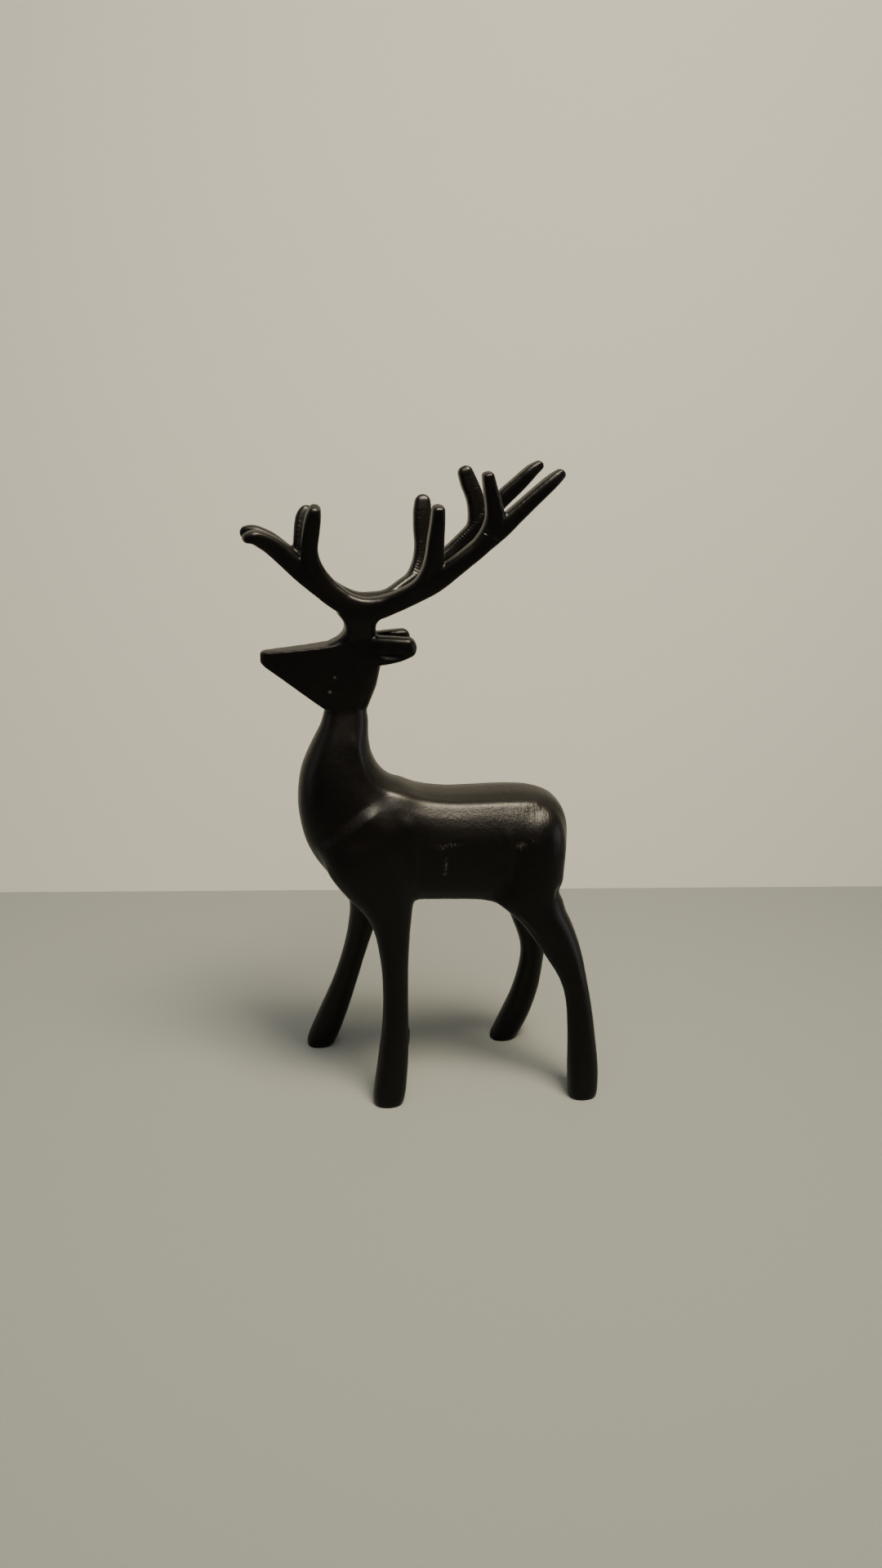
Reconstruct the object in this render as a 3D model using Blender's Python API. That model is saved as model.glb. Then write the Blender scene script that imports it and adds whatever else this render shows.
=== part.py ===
"""A standing elk figurine, cast in one piece and finished in satin black.

The animal looks along -X, its left flank is towards -Y and +Z is up.  It stands on four
feet cut flat at the height of the surface below.  The torso, the neck and the legs are
lofted from rings, the head is a flat wedge, and each antler is a branching plate made of
tapered strokes.  All of them are fused into one closed solid.  Lengths are in millimetres
until the mesh is made.
"""
import math

import bmesh
import bpy
from mathutils import Vector

MM = 0.001

# Fineness of the casting's surface
RING_SIDES = 32            # points round each ring
RING_STEP = 1.4            # distance between rings, mm
DOME_RINGS = 3             # rings that round off the end of a stroke
FUSE_VOXEL = 0.5           # grain of the fusing, mm
SOFTENING_PASSES = 6       # rounds of smoothing over the joins
FACES_KEPT = 0.024         # share of the fused faces that the solid keeps
FLOOR_CUT = (100.0, 20.0)  # half width and half depth of what cuts the feet flat, mm

# Powers of the superellipses that the rings follow
FULL = 2.35                # a body or a leg, a little fuller than an ellipse
SLAB = 4.0                 # an antler or an ear, nearly a rounded rectangle

# Torso and neck, from the throat over the chest and back to the rump:
# centre x, centre z, lean of the ring from upright in degrees, half depth, half width
TRUNK = (
    (-17.0, 131.0, 90.0, 6.4, 4.4),
    (-17.2, 125.4, 88.0, 7.0, 5.4),
    (-19.0, 118.5, 84.0, 8.9, 7.0),
    (-20.3, 111.0, 76.0, 11.6, 9.0),
    (-19.5, 102.2, 62.0, 14.8, 11.6),
    (-15.9, 93.7, 46.0, 17.9, 13.6),
    (-9.0, 87.4, 28.0, 19.8, 14.8),
    (2.0, 83.8, 12.0, 18.8, 15.2),
    (14.0, 82.4, 2.0, 18.3, 15.0),
    (28.0, 82.2, 0.0, 18.5, 15.4),
    (36.5, 82.0, 0.0, 18.8, 15.2),
    (44.0, 82.8, 0.0, 16.9, 13.8),
    (49.0, 83.4, 0.0, 14.0, 11.6),
    (51.8, 83.6, 0.0, 10.4, 8.8),
    (53.0, 83.6, 0.0, 7.0, 6.0),
)

# Left legs, from the top inside the trunk down to the foot:
# centre x, distance from the middle plane, z, half length, half width
FORE_LEG = (
    (-2.0, 6.5, 99.0, 4.0, 3.4),
    (-4.5, 7.6, 95.0, 8.0, 6.4),
    (-8.4, 8.4, 87.0, 12.0, 8.9),
    (-10.4, 8.8, 79.0, 13.2, 9.0),
    (-8.2, 9.4, 71.0, 11.1, 7.6),
    (-5.6, 10.3, 64.0, 7.9, 6.2),
    (-4.4, 11.3, 57.0, 5.7, 5.2),
    (-3.9, 13.0, 46.0, 4.4, 4.3),
    (-3.9, 14.4, 36.5, 4.1, 3.9),
    (-4.2, 15.7, 27.0, 4.3, 3.9),
    (-5.1, 17.1, 16.5, 4.9, 4.2),
    (-6.3, 18.2, 6.5, 5.3, 4.6),
    (-7.2, 18.9, -2.0, 4.7, 4.5),
)
HIND_LEG = (
    (43.0, 7.5, 97.0, 5.0, 3.6),
    (42.8, 8.4, 92.5, 8.0, 7.0),
    (42.0, 9.2, 84.0, 9.8, 9.0),
    (41.4, 9.6, 74.0, 9.6, 8.8),
    (41.0, 10.4, 65.5, 9.5, 7.8),
    (42.4, 11.0, 61.2, 9.4, 7.2),
    (45.6, 11.8, 57.0, 8.3, 6.4),
    (50.3, 14.0, 48.5, 6.4, 5.2),
    (53.8, 16.4, 39.5, 4.5, 4.4),
    (55.5, 18.2, 31.5, 4.1, 4.0),
    (56.3, 20.4, 20.0, 4.6, 4.1),
    (56.6, 22.2, 9.5, 5.1, 4.6),
    (56.6, 23.2, -2.0, 4.8, 4.5),
)
# How the right legs differ from the left ones, as they swing forward from the given
# height: reach of the foot, backward bow of the shank and sideways spread of the foot
RIGHT_FORE = (80.0, 20.2, -0.4, 4.2)
RIGHT_HIND = (63.0, 19.2, 1.4, -4.4)

# Head, a flat wedge in the middle plane: x, z and half thickness at each corner
HEAD = (
    (-41.8, 146.9, 1.9),
    (-41.9, 143.1, 1.9),
    (-24.0, 129.4, 4.9),
    (-17.4, 127.2, 5.3),
    (-9.9, 128.0, 5.3),
    (-7.4, 135.0, 5.1),
    (-5.5, 143.0, 4.8),
    (-6.8, 151.6, 4.6),
    (-17.4, 151.0, 4.5),
    (-22.6, 149.0, 4.2),
)
HEAD_EDGE = 0.7            # rounding of the wedge's edges
STALK = (
    (-12.4, 0.0, 145.0, 6.6, 4.4),
    (-12.4, 0.0, 150.4, 6.0, 4.5),
    (-12.2, 0.0, 153.0, 4.9, 4.8),
    (-12.1, 0.0, 155.6, 5.0, 5.4),
    (-12.0, 0.0, 158.0, 6.2, 6.2),
    (-11.6, 0.0, 160.6, 8.6, 7.0),
)

# Strokes of the left antler and ear, root first:
# x, distance from the middle plane, z, half width seen from the side
PLATE = 3.0                # half thickness of an antler
EAR_PLATE = 2.2            # half thickness of an ear
THICKEST = 1.5             # a stroke's thickness is at most this share of its width
STROKES = {
    "front beam": (
        (-11.5, 4.2, 160.4, 3.4),
        (-17.4, 3.8, 162.6, 3.3),
        (-23.2, 3.2, 166.5, 3.3),
        (-28.8, 2.9, 171.1, 3.2),
        (-33.8, 3.0, 175.7, 3.1),
        (-38.2, 3.6, 179.4, 2.8),
        (-42.2, 4.6, 181.3, 2.4),
        (-44.6, 5.2, 181.3, 1.8),
    ),
    "rear beam": (
        (-12.5, 4.2, 159.6, 3.4),
        (-7.5, 4.3, 160.2, 3.2),
        (-2.4, 5.2, 161.7, 2.8),
        (3.6, 8.0, 164.8, 3.0),
        (9.6, 11.0, 168.7, 3.1),
        (15.8, 12.6, 173.4, 2.7),
        (22.4, 13.2, 178.8, 2.6),
        (28.2, 13.4, 183.8, 2.8),
        (32.4, 13.3, 187.5, 2.5),
        (38.6, 13.1, 193.0, 2.2),
        (43.6, 12.9, 197.3, 1.8),
        (45.6, 12.8, 199.0, 1.3),
    ),
    "front tine": (
        (-17.0, 3.8, 162.8, 2.6),
        (-21.8, 3.3, 166.6, 2.9),
        (-25.4, 3.2, 171.4, 3.0),
        (-26.6, 4.0, 177.2, 2.5),
        (-26.0, 5.3, 183.2, 2.5),
        (-25.3, 6.4, 187.4, 2.3),
        (-24.8, 6.9, 189.3, 1.8),
    ),
    "first tine": (
        (0.5, 6.6, 163.4, 2.4),
        (5.4, 9.2, 166.8, 2.7),
        (8.2, 11.0, 171.2, 2.9),
        (9.2, 12.2, 176.0, 2.7),
        (9.5, 13.2, 181.0, 2.4),
        (9.9, 14.0, 186.0, 2.1),
        (10.1, 14.6, 189.3, 1.8),
    ),
    "second tine": (
        (14.6, 12.4, 172.4, 2.3),
        (20.4, 13.1, 176.9, 2.5),
        (24.9, 13.5, 181.8, 2.9),
        (26.6, 13.8, 186.6, 2.8),
        (26.1, 14.3, 191.0, 2.3),
        (25.1, 14.8, 195.0, 1.9),
        (24.2, 15.2, 198.4, 1.5),
    ),
    "ear": (
        (-9.6, 2.4, 146.9, 4.6),
        (-6.2, 4.2, 147.2, 5.0),
        (-1.0, 6.1, 147.7, 4.1),
        (2.2, 6.8, 148.3, 2.9),
    ),
}
# The right antler was bent and filed by hand, and differs a little from the left one
RIGHT_STROKES = {
    "front beam": (
        (-11.5, 4.2, 160.4, 3.4),
        (-17.2, 3.8, 162.3, 3.2),
        (-22.9, 3.2, 166.0, 3.2),
        (-28.5, 2.9, 170.6, 3.1),
        (-33.5, 3.0, 175.3, 3.0),
        (-38.0, 3.6, 179.2, 2.8),
        (-42.2, 4.6, 181.5, 2.4),
        (-44.8, 5.2, 181.9, 2.0),
    ),
    "rear beam": (
        (-12.5, 4.2, 159.6, 3.4),
        (-7.5, 4.3, 160.2, 3.2),
        (-2.3, 5.2, 161.4, 2.6),
        (3.6, 8.0, 164.5, 2.8),
        (10.2, 11.0, 167.8, 2.6),
        (16.6, 12.6, 171.6, 2.5),
        (22.8, 13.2, 177.4, 2.5),
        (28.2, 13.4, 183.6, 2.5),
        (33.2, 13.3, 188.9, 2.6),
        (38.7, 13.1, 193.9, 2.5),
        (42.9, 12.9, 197.7, 2.1),
        (44.8, 12.8, 199.5, 1.6),
    ),
    "front tine": (
        (-17.0, 3.8, 162.6, 2.5),
        (-22.7, 3.3, 166.0, 2.8),
        (-27.0, 3.2, 170.3, 2.9),
        (-28.6, 4.0, 175.8, 2.5),
        (-28.2, 5.3, 181.6, 2.6),
        (-27.6, 6.4, 185.6, 2.5),
        (-27.0, 6.9, 187.0, 2.2),
    ),
    "first tine": (
        (0.9, 6.6, 162.8, 2.3),
        (5.4, 9.2, 165.9, 2.6),
        (8.2, 11.0, 170.2, 2.6),
        (9.3, 12.2, 175.6, 2.6),
        (9.2, 13.2, 181.2, 2.7),
        (9.2, 14.0, 186.0, 2.6),
        (9.2, 14.6, 188.4, 2.2),
    ),
    "second tine": (
        (16.6, 12.4, 171.4, 2.2),
        (21.8, 13.1, 176.0, 2.4),
        (25.3, 13.5, 181.0, 2.6),
        (26.0, 13.8, 185.8, 2.8),
        (25.2, 14.3, 190.4, 2.7),
        (23.6, 14.8, 194.4, 2.6),
        (22.5, 15.2, 197.2, 2.2),
    ),
    "ear": (
        (-9.6, 2.4, 146.9, 4.6),
        (-6.2, 4.2, 147.0, 4.8),
        (-1.0, 6.1, 147.4, 4.0),
        (1.4, 6.6, 147.8, 3.6),
    ),
}
EAR_HOLLOW = (-3.0, 8.1, 146.8)     # middle of the dish in the left ear's outer face
EAR_HOLLOW_SIZE = (4.4, 1.1, 2.3)   # its half length, depth and half height


def smooth_stations(stations, step):
    """Points along a smooth curve through the stations, about one step apart."""
    points = []
    last = len(stations) - 1
    for index in range(last):
        before = stations[max(index - 1, 0)]
        start = stations[index]
        end = stations[index + 1]
        after = stations[min(index + 2, last)]
        length = math.dist(start[:3], end[:3])
        count = max(1, round(length / step))
        for k in range(count):
            t = k / count
            points.append(tuple(
                0.5 * (2 * b + (c - a) * t + (2 * a - 5 * b + 4 * c - d) * t * t
                       + (3 * b - a - 3 * c + d) * t ** 3)
                for a, b, c, d in zip(before, start, end, after)))
    points.append(tuple(stations[last]))
    return points


def ring_points(centre, across, aside, half_across, half_aside, power):
    """Corners of a superellipse ring with the given axes and half sizes."""
    points = []
    for side in range(RING_SIDES):
        angle = 2 * math.pi * side / RING_SIDES
        c, s = math.cos(angle), math.sin(angle)
        u = math.copysign(abs(c) ** (2 / power), c) * half_across
        v = math.copysign(abs(s) ** (2 / power), s) * half_aside
        points.append(centre + across * u + aside * v)
    return points


def add_tube(bm, rings):
    """Join rings into a closed tube with flat ends."""
    rows = [[bm.verts.new(point * MM) for point in ring] for ring in rings]
    for lower, upper in zip(rows, rows[1:]):
        for side in range(RING_SIDES):
            after = (side + 1) % RING_SIDES
            bm.faces.new((lower[side], lower[after], upper[after], upper[side]))
    bm.faces.new(reversed(rows[0]))
    bm.faces.new(rows[-1])


def add_trunk(bm):
    """The torso and the neck, rings set across a bending middle line."""
    rings = []
    for x, z, lean, depth, width in smooth_stations(TRUNK, RING_STEP):
        angle = math.radians(lean)
        across = Vector((math.sin(angle), 0, math.cos(angle)))
        rings.append(ring_points(Vector((x, 0, z)), across, Vector((0, 1, 0)),
                                 depth, width, FULL))
    add_tube(bm, rings)


def swing(stations, pivot, reach, bow, spread):
    """The same leg with its foot further forward and further out."""
    moved = []
    for x, y, z, length, width in stations:
        share = max(0.0, 1 - z / pivot)
        back = bow * 4 * share * (1 - share)
        moved.append((x - reach * share + back, y + spread * share, z, length, width))
    return moved


def add_leg(bm, stations, side):
    """One leg, from level rings; side is -1 on the left and 1 on the right."""
    rings = []
    for x, y, z, length, width in smooth_stations(stations, RING_STEP):
        rings.append(ring_points(Vector((x, side * y, z)), Vector((1, 0, 0)),
                                 Vector((0, 1, 0)), length, width, FULL))
    add_tube(bm, rings)


def add_stroke(bm, stations, side, plate):
    """A tapered stroke with a rounded tip, in an upright plate."""
    points = smooth_stations(stations, RING_STEP)
    rings = []
    for index, (x, y, z, width) in enumerate(points):
        before = points[max(index - 1, 0)]
        after = points[min(index + 1, len(points) - 1)]
        along = Vector((after[0] - before[0], side * (after[1] - before[1]),
                        after[2] - before[2])).normalized()
        across = along.cross(Vector((0, 1, 0))).normalized()
        aside = across.cross(along)
        thick = min(plate, THICKEST * width)
        centre = Vector((x, side * y, z))
        rings.append(ring_points(centre, across, aside, width, thick, SLAB))
    for k in range(1, DOME_RINGS + 1):
        turn = 0.5 * math.pi * k / (DOME_RINGS + 0.5)
        ahead = centre + along * width * math.sin(turn)
        rings.append(ring_points(ahead, across, aside, width * math.cos(turn),
                                 thick - width * (1 - math.cos(turn)), SLAB))
    add_tube(bm, rings)


def add_head(bm):
    """The wedge of the head and the stalk that carries the antlers."""
    wedge = bmesh.new()
    near = [wedge.verts.new(Vector((x, -half, z)) * MM) for x, z, half in HEAD]
    far = [wedge.verts.new(Vector((x, half, z)) * MM) for x, z, half in HEAD]
    wedge.faces.new(near)
    wedge.faces.new(reversed(far))
    for index in range(len(HEAD)):
        after = (index + 1) % len(HEAD)
        wedge.faces.new((near[after], near[index], far[index], far[after]))
    bmesh.ops.recalc_face_normals(wedge, faces=wedge.faces)
    bmesh.ops.bevel(wedge, geom=wedge.edges, offset=HEAD_EDGE * MM, segments=2,
                    affect="EDGES", clamp_overlap=True)
    mesh = bpy.data.meshes.new("wedge")
    wedge.to_mesh(mesh)
    wedge.free()
    bm.from_mesh(mesh)
    bpy.data.meshes.remove(mesh)
    rings = []
    for x, y, z, length, width in smooth_stations(STALK, RING_STEP):
        rings.append(ring_points(Vector((x, y, z)), Vector((1, 0, 0)),
                                 Vector((0, 1, 0)), length, width, SLAB))
    add_tube(bm, rings)


def add_antlers(bm):
    """Both antlers and both ears."""
    for name, left in STROKES.items():
        plate = EAR_PLATE if name == "ear" else PLATE
        add_stroke(bm, left, -1, plate)
        add_stroke(bm, RIGHT_STROKES[name], 1, plate)


def resin_material():
    """Satin black paint over cast resin."""
    material = bpy.data.materials.new("satin black resin")
    material.use_nodes = True
    shader = material.node_tree.nodes["Principled BSDF"]
    shader.inputs["Base Color"].default_value = (0.010, 0.008, 0.0075, 1.0)
    shader.inputs["Roughness"].default_value = 0.42
    shader.inputs["Metallic"].default_value = 0.0
    return material


def add_cutter(name, location, size, kind):
    """A guide body that is taken away from the casting."""
    if kind == "box":
        bpy.ops.mesh.primitive_cube_add(size=2, location=location)
    else:
        bpy.ops.mesh.primitive_uv_sphere_add(segments=20, ring_count=12,
                                             location=location)
    cutter = bpy.context.object
    cutter.name = name
    cutter.scale = size
    bpy.ops.object.transform_apply(location=False, rotation=False, scale=True)
    cutter.hide_render = True
    cutter.display_type = "WIRE"
    return cutter


def cast_figurine():
    """Fuse all parts into one solid and cut the feet flat."""
    bm = bmesh.new()
    add_trunk(bm)
    add_leg(bm, FORE_LEG, -1)
    add_leg(bm, HIND_LEG, -1)
    add_leg(bm, swing(FORE_LEG, *RIGHT_FORE), 1)
    add_leg(bm, swing(HIND_LEG, *RIGHT_HIND), 1)
    add_head(bm)
    add_antlers(bm)
    bmesh.ops.recalc_face_normals(bm, faces=bm.faces)
    mesh = bpy.data.meshes.new("elk_figurine")
    bm.to_mesh(mesh)
    bm.free()
    elk = bpy.data.objects.new("elk_figurine", mesh)
    bpy.context.collection.objects.link(elk)
    mesh.materials.append(resin_material())

    fuse = elk.modifiers.new("fuse", "REMESH")
    fuse.mode = "VOXEL"
    fuse.voxel_size = FUSE_VOXEL * MM
    soften = elk.modifiers.new("soften", "SMOOTH")
    soften.factor = 0.5
    soften.iterations = SOFTENING_PASSES
    thin = elk.modifiers.new("thin", "DECIMATE")
    thin.ratio = FACES_KEPT
    reach, deep = FLOOR_CUT
    floor = add_cutter("floor_cutter", (0, 0, -deep * MM),
                       (reach * MM, reach * MM, deep * MM), "box")
    cuts = [floor]
    for side in (-1, 1):
        x, y, z = EAR_HOLLOW
        length, depth, height = EAR_HOLLOW_SIZE
        cuts.append(add_cutter(f"ear_cutter_{side}", (x * MM, side * y * MM, z * MM),
                               (length * MM, depth * MM, height * MM), "ball"))
    for cutter in cuts:
        cut = elk.modifiers.new(cutter.name, "BOOLEAN")
        cut.operation = "DIFFERENCE"
        cut.solver = "EXACT"
        cut.object = cutter
    return elk


def centre_on_origin(elk):
    """Put the middle of the solid's box over the origin."""
    bpy.context.view_layer.update()
    shape = elk.evaluated_get(bpy.context.evaluated_depsgraph_get())
    mesh = shape.to_mesh()
    xs = [vertex.co.x for vertex in mesh.vertices]
    ys = [vertex.co.y for vertex in mesh.vertices]
    shape.to_mesh_clear()
    middle = Vector(((min(xs) + max(xs)) / 2, (min(ys) + max(ys)) / 2, 0))
    for thing in bpy.data.objects:
        thing.location -= middle


def main():
    for thing in list(bpy.data.objects):
        bpy.data.objects.remove(thing, do_unlink=True)
    elk = cast_figurine()
    centre_on_origin(elk)


main()
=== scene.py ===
"""The looks of a small elk ornament, cast in one piece and painted satin black.

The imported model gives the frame.  One cast piece is modelled here in its place: rings
are set along the torso, the legs, the stalk and the strokes of the antlers and bridged
into closed forms.  These and the wedge of the head are fused into one skin, which is
then chased with the marks that casting, filing and handling have left.  Sizes are in
millimetres in the modeller's own axes, whose zero lies under the belly in the middle
plane; a Bench turns them into places in the frame.  Lamps and cards are in metres.
"""

import logging
import math
from collections.abc import Iterator, Sequence
from contextlib import contextmanager
from dataclasses import dataclass, field
from enum import Enum

import bpy
import numpy as np
from mathutils import Euler, Matrix, Vector


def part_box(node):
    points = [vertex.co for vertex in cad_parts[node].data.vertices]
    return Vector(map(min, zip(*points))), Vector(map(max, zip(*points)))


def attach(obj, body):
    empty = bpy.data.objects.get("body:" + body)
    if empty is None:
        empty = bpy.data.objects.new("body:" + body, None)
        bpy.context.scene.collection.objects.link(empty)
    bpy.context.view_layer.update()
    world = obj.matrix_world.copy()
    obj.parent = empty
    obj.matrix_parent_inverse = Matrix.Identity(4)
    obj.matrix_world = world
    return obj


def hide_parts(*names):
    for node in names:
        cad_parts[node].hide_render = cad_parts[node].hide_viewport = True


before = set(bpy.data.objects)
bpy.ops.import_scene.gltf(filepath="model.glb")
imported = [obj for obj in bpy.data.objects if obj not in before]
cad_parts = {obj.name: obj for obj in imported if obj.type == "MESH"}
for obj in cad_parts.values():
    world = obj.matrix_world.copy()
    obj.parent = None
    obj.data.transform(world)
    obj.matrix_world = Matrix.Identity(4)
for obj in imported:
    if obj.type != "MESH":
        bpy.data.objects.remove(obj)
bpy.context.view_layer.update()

MM = 0.001
NODE = "elk_figurine"
FRONT_REACH = 46.93      # from the modeller's zero to the foremost point, mm
SIDEWAYS = 0.03          # from the frame's middle plane to the modeller's, mm
SMOOTHING = 0.5          # how far one pass of smoothing moves a vertex
WEIGHT_LEVELS = 400      # steps between zero and one in a vertex group

log = logging.getLogger("elk")

Station = tuple[float, ...]
Point = tuple[float, float, float]


class Section(Enum):
    """Outline of a ring: the power of the superellipse that it follows."""

    LIMB = 2.45
    BARREL = 3.0
    PLATE = 4.2


class Side(Enum):
    """Which flank a form belongs to, as the sign of its Y."""

    LEFT = -1
    RIGHT = 1


@dataclass(frozen=True)
class Bench:
    """Where the modeller's zero lies in the frame, in metres."""

    zero: Vector

    @classmethod
    def under(cls, node: str, front_reach: float, sideways: float) -> "Bench":
        """A bench for a casting whose foremost point lies a known reach ahead of zero.

        Args:
            node: the CAD node that gives the foremost point.
            front_reach: the reach in millimetres.
            sideways: how far zero lies to the right of the frame's own, in millimetres.

        Returns:
            The bench.
        """
        low, _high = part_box(node)
        return cls(Vector((low[0] + front_reach * MM, sideways * MM, 0.0)))

    def place(self, point: Sequence[float]) -> Vector:
        """A point of the modeller's axes in the frame.

        Args:
            point: x, y and z in millimetres.

        Returns:
            The point in metres.
        """
        return self.zero + Vector(point) * MM


BENCH = Bench.under(NODE, FRONT_REACH, SIDEWAYS)


# ---------------------------------------------------------------- modelling by hand


def deselect() -> None:
    bpy.ops.object.select_all(action="DESELECT")


def take(thing: bpy.types.Object) -> bpy.types.Object:
    """Select one object alone and make it active.

    Args:
        thing: the object.

    Returns:
        The same object.
    """
    deselect()
    thing.select_set(True)
    bpy.context.view_layer.objects.active = thing
    return thing


@contextmanager
def editing(thing: bpy.types.Object, mode: str = "VERT") -> Iterator[None]:
    """Edit mode on one object, with the given kind of element selected.

    Args:
        thing: the object to edit.
        mode: VERT, EDGE or FACE.

    Yields:
        Nothing; edit mode ends with the block.
    """
    take(thing)
    kinds = ("VERT", "EDGE", "FACE")
    bpy.context.tool_settings.mesh_select_mode = [mode == kind for kind in kinds]
    bpy.ops.object.mode_set(mode="EDIT")
    try:
        yield
    finally:
        bpy.ops.object.mode_set(mode="OBJECT")


def finish_with(thing: bpy.types.Object, kind: str, **settings: object) -> None:
    """Add a modifier to an object, set it and apply it.

    Args:
        thing: the object to change.
        kind: the modifier's type.
        settings: its properties by name.
    """
    modifier = thing.modifiers.new(kind.lower(), kind)
    for name, value in settings.items():
        setattr(modifier, name, value)
    take(thing)
    bpy.ops.object.modifier_apply(modifier=modifier.name)


def smooth_through(stations: Sequence[Station], step: float) -> list[Station]:
    """Stations about a step apart on a smooth line through the given ones.

    Args:
        stations: rows that start with x, y and z.
        step: the spacing to aim for.

    Returns:
        The given stations and those between them.
    """
    rows = []
    last = len(stations) - 1
    for index in range(last):
        before = stations[max(index - 1, 0)]
        start = stations[index]
        end = stations[index + 1]
        after = stations[min(index + 2, last)]
        count = max(1, round(math.dist(start[:3], end[:3]) / step))
        for k in range(count):
            t = k / count
            rows.append(tuple(
                0.5 * (2 * b + (c - a) * t + (2 * a - 5 * b + 4 * c - d) * t * t
                       + (3 * b - a - 3 * c + d) * t ** 3)
                for a, b, c, d in zip(before, start, end, after)))
    rows.append(tuple(stations[last]))
    return rows


@dataclass(frozen=True)
class Ring:
    """One ring of a form: its middle, its two axes and its half sizes along them."""

    centre: Vector
    across: Vector
    aside: Vector
    half_across: float
    half_aside: float

    def matrix(self) -> Matrix:
        """Where a ring of unit half size goes.

        Returns:
            Its matrix in the frame.
        """
        normal = self.across.cross(self.aside)
        turned = Matrix((self.across * self.half_across * MM,
                         self.aside * self.half_aside * MM, normal * MM)).transposed()
        placed = turned.to_4x4()
        placed.translation = BENCH.place(self.centre)
        return placed


class RingStock:
    """Unit rings, made once for each outline and copied to every station."""

    corner_cuts = 9
    inset = 0.999

    def __init__(self) -> None:
        """Make a ring of each outline."""
        self.rings = {section: self._cut(section) for section in Section}

    def _cut(self, section: Section) -> bpy.types.Object:
        """A unit square whose corners are rounded off to the outline.

        Args:
            section: the outline.

        Returns:
            The ring, with no face in it.
        """
        deselect()
        bpy.ops.mesh.primitive_plane_add(size=2)
        ring = bpy.context.object
        ring.name = f"stock_{section.name.lower()}"
        with editing(ring):
            bpy.ops.mesh.select_all(action="SELECT")
            bpy.ops.mesh.bevel(offset=self.inset, segments=self.corner_cuts,
                               profile=4 ** (-1 / section.value), affect="VERTICES",
                               clamp_overlap=False)
            bpy.ops.mesh.select_all(action="SELECT")
            bpy.ops.mesh.delete(type="ONLY_FACE")
            bpy.ops.mesh.select_all(action="SELECT")
            bpy.ops.mesh.remove_doubles(threshold=4 * (1 - self.inset))
        return ring

    def loft(self, name: str, section: Section,
             rings: Sequence[Ring]) -> bpy.types.Object:
        """Bridge rings into one closed form.

        Args:
            name: the form's name.
            section: the outline of every ring.
            rings: the rings in order.

        Returns:
            The closed form, with its place in its mesh.
        """
        deselect()
        for ring in rings:
            copy = self.rings[section].copy()
            copy.data = self.rings[section].data.copy()
            bpy.context.collection.objects.link(copy)
            copy.matrix_world = ring.matrix()
            copy.select_set(True)
            bpy.context.view_layer.objects.active = copy
        bpy.ops.object.join()
        form = bpy.context.object
        form.name = name
        bpy.ops.object.transform_apply(location=True, rotation=True, scale=True)
        with editing(form):
            bpy.ops.mesh.select_all(action="SELECT")
            bpy.ops.mesh.bridge_edge_loops(type="SINGLE")
            bpy.ops.mesh.select_all(action="SELECT")
            bpy.ops.mesh.fill_holes(sides=0)
            bpy.ops.mesh.select_all(action="SELECT")
            bpy.ops.mesh.normals_make_consistent(inside=False)
        return form

    def put_away(self) -> None:
        """Remove the stock rings."""
        for ring in self.rings.values():
            bpy.data.objects.remove(ring, do_unlink=True)


# ---------------------------------------------------------------- the forms


@dataclass
class Torso:
    """The neck, and the barrel from chest to rump, as rings across bending middle lines.

    Each station is the ring's centre x, zero, centre z, its lean from upright in degrees,
    its half depth and its half width.
    """

    step: float = 1.2
    neck: tuple[Station, ...] = (
        (-17.0, 0.0, 131.0, 90.0, 6.3, 4.8),
        (-16.9, 0.0, 128.6, 89.0, 6.5, 5.0),
        (-16.95, 0.0, 127.2, 88.8, 6.7, 5.3),
        (-17.1, 0.0, 125.9, 88.5, 7.0, 5.7),
        (-17.4, 0.0, 123.6, 87.0, 7.5, 6.45),
        (-18.3, 0.0, 120.6, 85.5, 8.3, 7.4),
        (-19.2, 0.0, 117.2, 83.0, 9.4, 8.35),
        (-20.3, 0.0, 111.0, 76.0, 11.6, 9.9),
        (-19.5, 0.0, 102.2, 62.0, 14.6, 11.9),
        (-15.9, 0.0, 93.7, 46.0, 17.5, 13.6),
        (-9.0, 0.0, 87.4, 28.0, 19.2, 14.6),
        (2.0, 0.0, 83.8, 12.0, 17.0, 12.5),
    )
    barrel: tuple[Station, ...] = (
        (-17.0, 0.0, 96.0, 52.0, 13.5, 9.0),
        (-13.5, 0.0, 91.0, 38.0, 17.4, 13.0),
        (-9.0, 0.0, 87.4, 28.0, 19.1, 14.4),
        (2.0, 0.0, 83.8, 12.0, 18.2, 14.9),
        (14.0, 0.0, 82.5, 2.0, 17.6, 14.8),
        (23.5, 0.0, 82.1, 0.0, 17.9, 15.0),
        (30.0, 0.0, 81.4, 0.0, 18.7, 15.1),
        (36.5, 0.0, 80.5, 0.0, 19.6, 15.0),
        (44.0, 0.0, 82.0, 0.0, 17.2, 13.7),
        (49.0, 0.0, 83.4, 0.0, 13.6, 11.6),
        (51.8, 0.0, 83.6, 0.0, 10.2, 8.8),
        (53.0, 0.0, 83.6, 0.0, 7.0, 6.0),
    )

    def build(self, stock: RingStock) -> list[bpy.types.Object]:
        """Bridge the neck and the barrel.

        Args:
            stock: where their rings come from.

        Returns:
            The closed forms.
        """
        return [stock.loft("neck", Section.LIMB, self._rings(self.neck)),
                stock.loft("barrel", Section.BARREL, self._rings(self.barrel))]

    def _rings(self, stations: Sequence[Station]) -> list[Ring]:
        """Rings through the stations of a bending middle line.

        Args:
            stations: the rows of the neck or the barrel.

        Returns:
            The rings in order.
        """
        rings = []
        for x, y, z, lean, depth, width in smooth_through(stations, self.step):
            angle = math.radians(lean)
            across = Vector((math.sin(angle), 0, math.cos(angle)))
            rings.append(Ring(Vector((x, y, z)), across, Vector((0, 1, 0)), depth, width))
        return rings


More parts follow.
